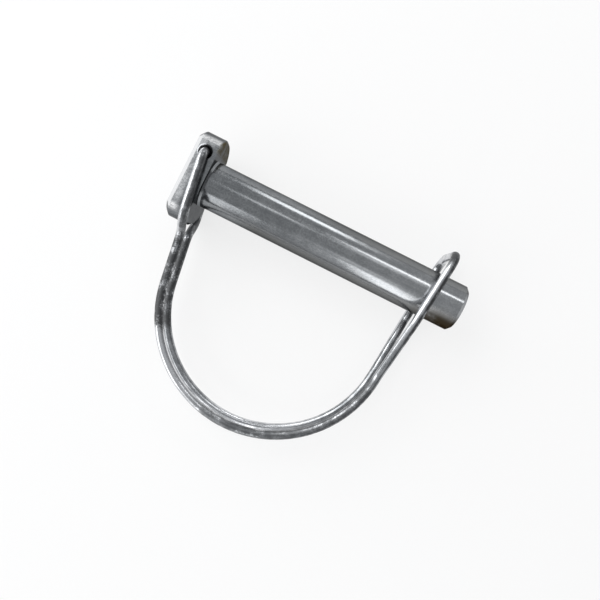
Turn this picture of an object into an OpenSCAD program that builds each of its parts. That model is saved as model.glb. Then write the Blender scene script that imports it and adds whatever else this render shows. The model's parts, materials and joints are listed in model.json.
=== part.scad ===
// Round wire lock pin: a headed steel pin with a sprung wire bail that snaps over its tip.
// X runs along the pin from the head to the tip, and the bail's arch hangs towards -Y.
// The pin lies on its side, with the bail's plane level and +Z up.
// The origin is on the pin's axis, at the bearing face under the head.

/* [Pin] */
// Diameter of the shank
pin_d = 10; // [6:0.5:14]
// Length of the shank from the bearing face to the end of the tip
pin_len = 58; // [48:1:90]
// Chamfer at the end of the tip
tip_chamfer = 0.7; // [0.3:0.1:1.5]
// Size of the small conical root where the shank meets the head
root_size = 0.4; // [0.2:0.1:0.5]

/* [Head] */
// Diameter of the head
head_d = 19.2; // [18:0.2:24]
// Thickness of the head along the pin
head_t = 5; // [4.4:0.2:8]
// How far each flat on the head stands out from the side of the shank
flat_step = 1.5; // [1:0.1:2]
// Chamfer round the rims of the head
head_chamfer = 0.5; // [0.2:0.1:0.8]
// Bevel along the outer edge of each flat
flat_bevel = 0.9; // [0.3:0.1:1.2]

/* [Cross hole] */
// Distance of the cross hole behind the bearing face
hole_back = 2.4; // [2:0.1:2.8]
// Distance of the cross hole above the pin's axis
hole_up = 4.8; // [4:0.1:6]
// Radial clearance of the wire in the cross hole
hole_clear = 0.08; // [0.02:0.01:0.1]
// Depth of the countersink at each mouth of the cross hole
countersink = 0.6; // [0.5:0.1:0.8]

/* [Wire bail] */
// Diameter of the spring wire
wire_d = 1.8; // [1.4:0.1:2.2]
// Gap between each leg and the flat that it swings along
leg_gap = 0.3; // [0.1:0.05:0.6]
// Gap between the wire's two ends inside the cross hole
end_gap = 2; // [1:0.5:4]
// Bend radius at the wire's centre where each end turns into the cross hole
end_bend = 1.6; // [1.5:0.1:2]
// Clear space between the legs along the arch
arch_gap = 6.2; // [1:0.2:8]
// Largest bend radius where the legs close in on each other
neck_bend = 4; // [2:0.5:6]
// Length below the head over which the legs close in on each other
neck_len = 6; // [5:0.5:9]
// Short straight between the arch and the legs of the loop
arch_lead = 1; // [0.5:0.1:2]
// Depth of the arch below the pin's axis, to the wire's centre
arch_depth = 42.2; // [38:0.2:50]
// Lean of the legs at the head, from square to the pin
head_lean = 8.4; // [4:0.2:10]
// Lean of the legs at the loop, from square to the pin
loop_lean = 6; // [2:0.2:9]
// Length of the tip beyond the bar of the loop
tip_beyond = 6.3; // [4:0.1:10]
// Gap between the shank and each leg of the loop
loop_gap = 0.9; // [0.7:0.1:1.5]
// Clear space between the shank and the bar of the loop
loop_clear = 3.1; // [1.5:0.1:5]
// Bend radius at the wire's centre in the corners of the loop
loop_bend = 3.2; // [1.6:0.1:3.5]

/* [Hidden] */
$fn = 64;
over = 1;

pin_r = pin_d / 2;
head_r = head_d / 2;
flat_half = pin_r + flat_step;
flat_reach = sqrt(head_r * head_r - flat_half * flat_half);
hole_r = wire_d / 2 + hole_clear;

// The bail in its own plane: the legs start at the hole and at the loop's bar,
// and the arch is the circle that touches both legs and the depth line.
hole = [-hole_back, hole_up];
bar = [pin_len - tip_beyond, pin_r + loop_clear + wire_d / 2];
drop_head = arch_depth + hole[1];
drop_loop = arch_depth + bar[1];
arch_span = bar[0] - hole[0] - drop_head * tan(head_lean) - drop_loop * tan(loop_lean);
arch_r = arch_span / (tan(45 - head_lean / 2) + tan(45 - loop_lean / 2));
head_leg = drop_head / cos(head_lean) - arch_r * tan(45 - head_lean / 2);
loop_leg = drop_loop / cos(loop_lean) - arch_r * tan(45 - loop_lean / 2);
arch_turn = 180 - head_lean - loop_lean;

// The bail across its plane: the legs run along the flats of the head and beside the shank at the loop,
// and close in between.
leg_z = flat_half + leg_gap + wire_d / 2;
loop_z = pin_r + loop_gap + wire_d / 2;
arch_z = min((arch_gap + wire_d) / 2, 0.9 * loop_z);
head_run = (hole[1] + flat_reach) / cos(head_lean);
loop_run = (bar[1] + flat_half) / cos(loop_lean);
head_neck = neck_curve(neck_len, leg_z - arch_z);
head_lead = head_leg - head_run - neck_len;
loop_neck = neck_curve(loop_leg - loop_run - arch_lead, loop_z - arch_z);

// Two equal opposite bends and a straight that shift a wire sideways over a given length.
// Gives [bend radius, straight, angle].
function neck_curve(long, aside) =
    let (r = min(neck_bend, 0.9 * (long * long + aside * aside) / (4 * aside)))
    let (straight = sqrt(long * long + aside * aside - 4 * r * aside))
    [r, straight, atan2(long, 2 * r - aside) - atan2(straight, 2 * r)];

// The whole bail as a bending order, from the end in the upper mouth of the cross hole
// round the arch, over the loop and back to the end in the lower mouth.
// Each step is [feed, roll about the wire, bend angle, bend radius], with lengths in metres.
// The wire is bent in metres and enlarged at the end, so that rounding leaves no step at its joints.
metre = 1000;
wire_m = wire_d / metre;
end_feed = leg_z - end_bend - end_gap / 2;
head_feed = head_run - end_bend;
loop_feed = loop_run - loop_bend;
bar_feed = 2 * (loop_z - loop_bend);
bending_order = [for (step = [
    [end_feed, head_lean - 90, 90, end_bend],
    [head_feed, 0, head_neck[2], head_neck[0]],
    [head_neck[1], 180, head_neck[2], head_neck[0]],
    [head_lead, -90, arch_turn, arch_r],
    [arch_lead, 90, loop_neck[2], loop_neck[0]],
    [loop_neck[1], 180, loop_neck[2], loop_neck[0]],
    [loop_feed, 0, 90, loop_bend],
    [bar_feed, 0, 90, loop_bend],
    [loop_feed, 0, loop_neck[2], loop_neck[0]],
    [loop_neck[1], 180, loop_neck[2], loop_neck[0]],
    [arch_lead, -90, arch_turn, arch_r],
    [head_lead, 90, head_neck[2], head_neck[0]],
    [head_neck[1], 180, head_neck[2], head_neck[0]],
    [head_feed, 0, 90, end_bend],
    [end_feed, 0, 0, 0],
]) [step[0] / metre, step[1], step[2], step[3] / metre]];

// Bend of the wire about the Y axis, cut from a whole ring: it starts at -X, heading up
module wire_bend(radius, bend) {
    reach = radius + wire_m;
    difference() {
        rotate([90, 0, 0]) rotate_extrude() translate([radius, 0]) circle(d = wire_m);
        translate([-reach, -wire_m, -reach]) cube([2 * reach, 2 * wire_m, reach]);
        rotate([0, bend, 0]) translate([-reach, -wire_m, 0]) cube([2 * reach, 2 * wire_m, reach]);
    }
}

// Wire fed along +Z and bent towards +X, one step of the order after another
module bent_wire(order, step = 0) {
    feed = order[step][0];
    roll = order[step][1];
    bend = order[step][2];
    radius = order[step][3];
    if (feed > 0) cylinder(d = wire_m, h = feed);
    if (bend > 0) translate([0, 0, feed]) rotate([0, 0, roll]) translate([radius, 0, 0]) {
        wire_bend(radius, bend);
        rotate([0, bend, 0]) translate([-radius, 0, 0]) bent_wire(order, step + 1);
    }
}

// Everything outside one flat of the head and its bevelled edge, seen along Y
module flat_cutter() {
    reach = flat_bevel + over;
    rotate([90, 0, 0]) linear_extrude(head_d + 2 * over, center = true) polygon([
        [-head_t - over, flat_half - reach],
        [-head_t + flat_bevel, flat_half],
        [over, flat_half],
        [over, head_r + over],
        [-head_t - over, head_r + over],
    ]);
}

// Turned blank of the head and shank, about the X axis
module pin_blank() {
    rotate([0, 90, 0]) rotate_extrude() polygon([
        [0, -head_t],
        [head_r - head_chamfer, -head_t],
        [head_r, -head_t + head_chamfer],
        [head_r, -head_chamfer],
        [head_r - head_chamfer, 0],
        [pin_r + root_size, 0],
        [pin_r, root_size],
        [pin_r, pin_len - tip_chamfer],
        [pin_r - tip_chamfer, pin_len],
        [0, pin_len],
    ]);
}

// Pin with its head, the two flats and the cross hole that carries the bail
module pin_body() {
    color("silver") difference() {
        pin_blank();
        for (side = [0, 1]) mirror([0, 0, side]) {
            flat_cutter();
            translate([hole[0], hole[1], flat_half - countersink])
                cylinder(h = countersink + over, r1 = hole_r, r2 = hole_r + countersink + over);
        }
        translate([hole[0], hole[1], 0]) cylinder(r = hole_r, h = head_d, center = true);
    }
}

// Spring wire bent double, with an end in each mouth of the cross hole and a loop over the tip
module wire_bail() {
    color("lightsteelblue") translate([hole[0], hole[1], end_gap / 2])
        scale(metre) bent_wire(bending_order);
}

pin_body();
wire_bail();
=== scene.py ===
# A wire lock pin lying on its side on a white floor, seen from straight above.
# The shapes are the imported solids: this script gives them their finish, a floor, light and a camera.
import json
import math

import bpy
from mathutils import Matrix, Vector


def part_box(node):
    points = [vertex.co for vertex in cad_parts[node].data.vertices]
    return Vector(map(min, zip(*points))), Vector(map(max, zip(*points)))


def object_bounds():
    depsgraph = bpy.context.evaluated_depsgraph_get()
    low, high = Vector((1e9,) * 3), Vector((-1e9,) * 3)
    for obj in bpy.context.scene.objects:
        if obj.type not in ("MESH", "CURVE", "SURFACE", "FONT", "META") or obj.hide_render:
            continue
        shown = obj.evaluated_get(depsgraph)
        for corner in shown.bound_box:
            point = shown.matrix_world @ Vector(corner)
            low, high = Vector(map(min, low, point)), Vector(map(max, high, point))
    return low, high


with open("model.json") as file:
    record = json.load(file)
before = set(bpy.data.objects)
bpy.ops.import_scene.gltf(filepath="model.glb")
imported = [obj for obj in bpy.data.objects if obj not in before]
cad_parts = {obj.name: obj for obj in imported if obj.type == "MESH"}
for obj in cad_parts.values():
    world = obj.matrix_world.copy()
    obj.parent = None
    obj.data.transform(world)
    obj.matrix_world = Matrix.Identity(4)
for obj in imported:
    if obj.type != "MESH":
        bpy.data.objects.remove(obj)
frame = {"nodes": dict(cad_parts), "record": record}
cad_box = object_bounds()

# The pin: a steel bar turned to a straight shank and a disc head, milled flat on two sides, cross-drilled
# and zinc plated. It is a mottled grey with the lathe's rings in it, and a painted sheen makes it lighter
# towards the tip. Painted highlights lie on the head's outer bevel and on the outer half and upper end of
# its flats, broken up by random scuffs. Painted shade lies in patchy bands along the shank's sides and near
# black in the mouth of the cross hole. A dark olive patch lies on the bearing face and a dark brown one on
# the tip's side.
mm = 1000
pin_low, pin_high = (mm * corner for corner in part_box("pin_body"))
head_end, tip_end = pin_low.x, pin_high.x
head_top, flat_z = pin_high.y, pin_high.z
head_rim = 0.5
shank_r = next(m for m in frame["record"]["mounts"] if m["name"] == "shank")["dims"]["r_mm"]
hole_x, hole_y = (mm * place for place in frame["record"]["behaviour"]["joints"][0]["pos_m"][:2])
mouth_r, mouth_depth, ragged = 1.5, 0.2, 0.5


class Shade:
    """A socket of a node tree. Arithmetic on it adds Math nodes, and node() adds any other kind."""

    def __init__(self, tree, socket=None):
        self.tree = tree
        self.socket = socket

    def node(self, kind, settings, inputs, output=0):
        made = self.tree.nodes.new(kind)
        for name, value in settings.items():
            setattr(made, name, value)
        for name, value in inputs.items():
            if isinstance(value, Shade):
                self.tree.links.new(value.socket, made.inputs[name])
            else:
                made.inputs[name].default_value = value
        return Shade(self.tree, made.outputs[output])

    def math(self, operation, first, second=0.0):
        return self.node("ShaderNodeMath", {"operation": operation}, {0: first, 1: second})

    def __add__(self, other):
        return self.math("ADD", self, other)

    def __radd__(self, other):
        return self.math("ADD", other, self)

    def __sub__(self, other):
        return self.math("SUBTRACT", self, other)

    def __rsub__(self, other):
        return self.math("SUBTRACT", other, self)

    def __mul__(self, other):
        return self.math("MULTIPLY", self, other)

    def __rmul__(self, other):
        return self.math("MULTIPLY", other, self)

    def step(self, low, high):
        """Rises smoothly from 0 at low to 1 at high, or falls if low is above high."""
        span = {"Value": self, "From Min": min(low, high), "From Max": max(low, high)}
        span.update({"To Min": float(low > high), "To Max": float(low < high)})
        return self.node("ShaderNodeMapRange", {"interpolation_type": "SMOOTHSTEP"}, span)

    def tint(self, colour_low, colour_high):
        """The colour between two colours, by this value as the share of the second."""
        inputs = {0: self, 6: colour_low, 7: colour_high}
        return self.node("ShaderNodeMix", {"data_type": "RGBA"}, inputs, 2)

    def feeds(self, shader, name):
        self.tree.links.new(self.socket, shader.inputs[name])


def new_finish(name):
    """A new material, its shader, and the place on it in millimetres, as one socket for each axis."""
    finish = bpy.data.materials.new(name)
    finish.use_nodes = True
    tree = finish.node_tree
    place = Shade(tree).node("ShaderNodeTexCoord", {}, {}, "Object")
    axes = [place.node("ShaderNodeSeparateXYZ", {}, {"Vector": place}, axis) * mm for axis in "XYZ"]
    return finish, tree.nodes["Principled BSDF"], axes


def grain(across, up, along, size, detail=2.0):
    """Cloudy noise over three coordinates in millimetres, with clouds about as wide as size."""
    spot = across.node("ShaderNodeCombineXYZ", {}, {0: across, 1: up, 2: along})
    inputs = {"Vector": spot, "Scale": 1 / size, "Detail": detail, "Roughness": 0.55}
    return spot.node("ShaderNodeTexNoise", {}, inputs, "Fac")


def distance(across, up):
    """How far a place is from the origin of two coordinates."""
    return across.math("SQRT", across * across + up * up)


def emboss(shader, relief):
    """Gives the surface a fine relief, a few hundredths of a millimetre deep at most."""
    inputs = {"Strength": 0.2, "Distance": 0.00002, "Height": relief}
    relief.node("ShaderNodeBump", {}, inputs).feeds(shader, "Normal")


plate, shader, (x, y, z) = new_finish("zinc_plate_on_turned_steel")
aside = z.math("ABSOLUTE", z)
clouds = grain(x, y, z, size=2.6, detail=3.0)
specks = grain(x, y, z, size=0.35)
streaks = grain(0.06 * x, y, z, size=0.7, detail=3.0)
rings = grain(x, 0.0, 0.0, size=0.16)

dull_zinc = (0.205, 0.215, 0.225, 1)
pale_zinc = (0.43, 0.44, 0.45, 1)
mottle = (0.35 * clouds + 0.25 * streaks + 0.4 * specks).step(0.38, 0.64)
# Painted sheen: the colour grows lighter towards the tip, and lighter again in random mottled patches.
brighter_share = 0.5 * x.step(0.1 * tip_end, tip_end) + 0.4 * mottle
zinc = brighter_share.tint(dull_zinc, pale_zinc)

# Painted highlight on the head's outer bevel and on the outer half and upper end of its flats, broken up by
# random scuffs.
highlight_zinc = (0.90, 0.91, 0.92, 1)
scuffs = (0.6 * clouds + 0.4 * specks).step(0.40, 0.62)
outer_half = x.step(0.4 * head_end, 0.68 * head_end)
crown = x.step(0.0, 0.1 * head_end) * y.step(0.57 * head_top, 0.83 * head_top)
on_flat = outer_half.math("MAXIMUM", outer_half, crown) * aside.step(0.62 * flat_z, 0.92 * flat_z)
on_bevel = x.step(0.78 * head_end, 0.88 * head_end) * aside.step(0.8 * flat_z, 0.89 * flat_z)
highlight_and_scuffs = 0.7 * on_bevel + on_flat * (0.4 + 0.6 * scuffs)

# Painted shade: patchy darker bands along the shank's sides, on the arch's side near the head and on the
# far side further on.
shade_zinc = (0.10, 0.10, 0.095, 1)
arch_side = x.step(0.1 * tip_end, 0.24 * tip_end) * y.step(-0.6 * shank_r, -0.9 * shank_r)
far_side = x.step(0.24 * tip_end, 0.52 * tip_end) * y.step(0.58 * shank_r, 0.70 * shank_r)
side_shade = (arch_side + 0.75 * far_side) * (0.45 + 0.4 * clouds)
zinc_with_painted_light = side_shade.tint(highlight_and_scuffs.tint(zinc, highlight_zinc), shade_zinc)

# A dark olive patch on the bearing face above the shank and a dark brown one on the tip's side towards the
# arch.
dark_olive = (0.13, 0.115, 0.075, 1)
dark_brown = (0.045, 0.036, 0.024, 1)
bearing_face = x.step(-head_rim, -0.2 * head_rim) * x.step(head_rim, 0.4 * head_rim)
on_face = bearing_face * y.step(shank_r, 1.3 * shank_r) * clouds.step(0.25, 0.60)
under_tip = x.step(0.80 * tip_end, 0.95 * tip_end) * y.step(-0.2 * shank_r, -0.8 * shank_r)
on_tip = under_tip * clouds.step(0.10, 0.50)
zinc_with_dark_patches = on_tip.tint(on_face.tint(zinc_with_painted_light, dark_olive), dark_brown)

# Painted shade: the mouth of the cross hole, below the flats, is painted near black with a ragged edge.
hole_shade_black = (0.03, 0.03, 0.03, 1)
from_hole = distance(x - hole_x, y - hole_y)
in_mouth = (from_hole + ragged * specks).step(mouth_r + ragged, mouth_r)
hole_shade = in_mouth * aside.step(flat_z, flat_z - mouth_depth)
hole_shade.tint(zinc_with_dark_patches, hole_shade_black).feeds(shader, "Base Color")
shader.inputs["Metallic"].default_value = 1.0
shader.inputs["Specular Tint"].default_value = (0.35, 0.35, 0.35, 1)
roughness = 0.11 + 0.08 * clouds + 0.05 * specks + 0.2 * (on_face + on_tip) + 0.3 * hole_shade
roughness.feeds(shader, "Roughness")
emboss(shader, 0.5 * rings + 0.5 * specks + 0.3 * clouds)
frame["nodes"]["pin_body"].data.materials[0] = plate

# The bail: one length of round spring wire, bent double on formers and sprung into the head's cross hole.
# It was drawn before it was bent, so fine lines run along it, under a coat of zinc whose tone differs at
# random.
# Painted highlights brighten the lit side of the leg beside the head and of the loop's leg, the bar below
# its upper corner and one strand of the arch; painted shade darkens the other sides, the bar's upper corner
# and the upper strand past the arch's middle. A dark blotched stretch runs down the leg below the head.
wire_r = 0.9
bail_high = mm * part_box("wire_bail")[1]
bar_x, bar_y = bail_high.x - wire_r, bail_high.y - wire_r
head_lean, loop_lean = math.radians(8.4), math.radians(6.0)
arch_x, arch_y = 25.0, -18.4
loop_foot = -8.0
blotched_top, blotched_end = -13.5, -30.0
fade = 2.0

drawn, shader, (x, y, z) = new_finish("zinc_plate_on_drawn_wire")
clouds = grain(x, y, z, size=1.8, detail=3.0)
specks = grain(x, y, z, size=0.3)
from_middle = distance(x - arch_x, y.math("MINIMUM", y - arch_y, 0.0))
lines = grain(from_middle, z, 0.03 * (x + y), size=0.22)

upper = z.step(-wire_r, wire_r)
near_head = x.step(0.4 * arch_x, 0.3 * arch_x)
below_head = y.step(blotched_top + fade, blotched_top)
beside_head = near_head * (1 - below_head)
from_head_leg = x - hole_x - math.tan(head_lean) * (hole_y - y)
outer_edge = upper * from_head_leg.step(-0.17 * wire_r, -0.44 * wire_r)

on_arch = y.step(arch_y, 1.3 * arch_y)
past_middle = x.step(0.64 * arch_x, 0.92 * arch_x)
before_loop = x.step(0.89 * bar_x, 0.735 * bar_x)
highlit_strand = on_arch * (upper * (1 - past_middle) + (1 - upper) * past_middle * before_loop)
shaded_strand = on_arch * upper * past_middle

in_loop = x.step(0.85 * bar_x, 0.91 * bar_x)
on_leg = in_loop * y.step(2 * loop_foot, loop_foot)
below_bar = y.step(0.89 * bar_y, 0.61 * bar_y)
on_bar = in_loop * (1 - below_bar)
upper_corner = z.step(0.4 * shank_r, shank_r)
from_loop_leg = x - bar_x + math.tan(loop_lean) * (bar_y - y)
head_side = from_loop_leg.step(0.39 * wire_r, -0.17 * wire_r)

bright_wire = (0.46, 0.47, 0.485, 1)
grey_wire = (0.22, 0.23, 0.24, 1)
# Painted highlights in this pale colour: the lit side of the loop's leg and of the leg beside the head, the
# bar below its upper corner, and one strand along the arch.
highlight_wire = (0.68, 0.69, 0.71, 1)
dulled = (0.6 * clouds + 0.4 * lines).step(0.40, 0.62)
highlit_leg_side = on_leg * y.step(0.78 * bar_y, 0.5 * bar_y) * head_side
brighter_share = highlit_leg_side + on_bar * (1 - upper_corner) + highlit_strand + beside_head * outer_edge
plated = (brighter_share * (1 - 0.4 * dulled)).tint(dulled.tint(bright_wire, grey_wire), highlight_wire)

# Painted shade in this dark colour: the other sides of those legs, the bar's upper corner and the upper
# strand past the arch's middle, with a dark blotched stretch down the leg below the head, all broken up in
# blotches.
dark_wire = (0.10, 0.102, 0.105, 1)
blotches = (0.6 * clouds + 0.4 * specks).step(0.31, 0.53)
blotched_leg = near_head * below_head * y.step(blotched_end - fade, blotched_end)
shaded_loop = on_bar * upper_corner + on_leg * below_bar * (1 - head_side)
shade_and_dark_stretch = blotched_leg + shaded_loop + 0.8 * beside_head * (1 - outer_edge) + 0.7 * shaded_strand
blotched_shade_and_stretch = shade_and_dark_stretch * blotches
blotched_shade_and_stretch.tint(plated, dark_wire).feeds(shader, "Base Color")
shader.inputs["Metallic"].default_value = 1.0
(0.14 + 0.10 * dulled + 0.05 * specks + 0.3 * blotched_shade_and_stretch).feeds(shader, "Roughness")
emboss(shader, 0.6 * lines + 0.4 * specks)
frame["nodes"]["wire_bail"].data.materials[0] = drawn

# The floor: a sheet of matt white card under the pin, which touches it along the bail's lower legs.
# It is far wider than the view, so no edge shows. To the camera and in the metal it glows a little,
# as a lit card does, so that it looks white and still keeps the shadow.
floor_half = 1.5
floor_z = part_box("wire_bail")[0].z
sides = (-floor_half, floor_half)
card = bpy.data.meshes.new("floor")
card.from_pydata([(side, end, floor_z) for side in sides for end in sides], [], [(0, 2, 3, 1)])
floor = bpy.data.objects.new("floor", card)
bpy.context.scene.collection.objects.link(floor)
white_card = bpy.data.materials.new("white_card")
white_card.use_nodes = True
paper = white_card.node_tree.nodes["Principled BSDF"]
paper.inputs["Base Color"].default_value = (0.93, 0.93, 0.93, 1)
paper.inputs["Roughness"].default_value = 0.9
paper.inputs["Specular IOR Level"].default_value = 0.2
glow_share = 0.75
seen = Shade(white_card.node_tree)
by_camera = seen.node("ShaderNodeLightPath", {}, {}, "Is Camera Ray")
by_metal = seen.node("ShaderNodeLightPath", {}, {}, "Is Glossy Ray")
by_glass = seen.node("ShaderNodeLightPath", {}, {}, "Is Transmission Ray")
glow = seen.node("ShaderNodeEmission", {}, {"Color": (1, 1, 1, 1), "Strength": 1.0})
share = seen.math("MAXIMUM", by_camera, seen.math("MAXIMUM", by_metal, by_glass)) * glow_share
lit = seen.node("ShaderNodeMixShader", {}, {0: share, 1: Shade(seen.tree, paper.outputs[0]), 2: glow})
lit.feeds(white_card.node_tree.nodes["Material Output"], "Surface")
card.materials.append(white_card)

# The studio: a pale ceiling that is darker on the tip's side, and four large soft boxes on the head's side.
# Two slanting strips and a low box beyond the shank, and two boxes in front of it, draw the bright lines
# along it, and two dim boxes soften the edges of those lines near the tip.
middle = (cad_box[0] + cad_box[1]) / 2


def soft_box(name, place, width, height, radiance, roll=0.0):
    """An area lamp that faces the middle of the part and shines with the given radiance."""
    lamp = bpy.data.lights.new(name, "AREA")
    lamp.shape = "RECTANGLE"
    lamp.size = width
    lamp.size_y = height
    lamp.energy = radiance * math.pi * width * height
    box = bpy.data.objects.new(name, lamp)
    box.location = place
    facing = (Vector(place) - middle).to_track_quat("Z", "Y").to_euler()
    facing.rotate_axis("Z", math.radians(roll))
    box.rotation_euler = facing
    bpy.context.scene.collection.objects.link(box)


soft_box("head_side_box", (-0.44, 0.10, 0.40), width=0.4, height=0.5, radiance=2.3)
soft_box("head_side_low_box", (-0.58, 0.0, 0.13), width=0.4, height=0.22, radiance=2.2)
soft_box("far_side_box", (-0.36, 0.36, 0.30), width=0.35, height=0.35, radiance=2.0)
soft_box("near_side_box", (-0.34, -0.38, 0.24), width=0.36, height=0.36, radiance=2.0)
soft_box("slanting_strip_tip", (0.115, 0.283, 0.400), width=0.14, height=0.055, radiance=3.7, roll=35)
soft_box("slanting_strip_head", (-0.037, 0.151, 0.466), width=0.07, height=0.045, radiance=2.2, roll=35)
soft_box("low_far_box", (-0.005, 0.48, 0.16), width=0.10, height=0.13, radiance=3.7)
soft_box("near_box_tip", (0.097, -0.45, 0.23), width=0.06, height=0.32, radiance=2.9)
soft_box("near_box_head", (-0.092, -0.43, 0.17), width=0.045, height=0.36, radiance=2.1)
soft_box("dim_box_beyond", (0.075, 0.20, 0.448), width=0.075, height=0.11, radiance=0.75)
soft_box("dim_box_in_front", (0.072, -0.30, 0.40), width=0.078, height=0.15, radiance=0.65)

pale_ceiling = (0.50, 0.51, 0.52, 1)
dark_ceiling = (0.20, 0.205, 0.21, 1)
world = bpy.data.worlds.new("studio")
bpy.context.scene.world = world
world.use_nodes = True
direction = Shade(world.node_tree).node("ShaderNodeTexCoord", {}, {}, "Generated")
tipward = direction.node("ShaderNodeSeparateXYZ", {}, {"Vector": direction}, "X").step(0.2, 0.9)
tipward.tint(pale_ceiling, dark_ceiling).feeds(world.node_tree.nodes["Background"], "Color")

# The camera: straight above the part and turned so that the shank runs down to the right.
# It is close enough for the bail's upper strand to show outside the lower one.
camera_place = (0.02767, -0.01306, 0.1354)
camera_turn = math.radians(26.7)
lens = bpy.data.cameras.new("camera")
lens.sensor_width = 36.0
lens.lens = 39.0
lens.clip_start = 0.001
camera = bpy.data.objects.new("camera", lens)
camera.location = camera_place
camera.rotation_euler = (0, 0, camera_turn)
bpy.context.scene.collection.objects.link(camera)
bpy.context.scene.camera = camera
bpy.context.scene.view_settings.view_transform = "Standard"
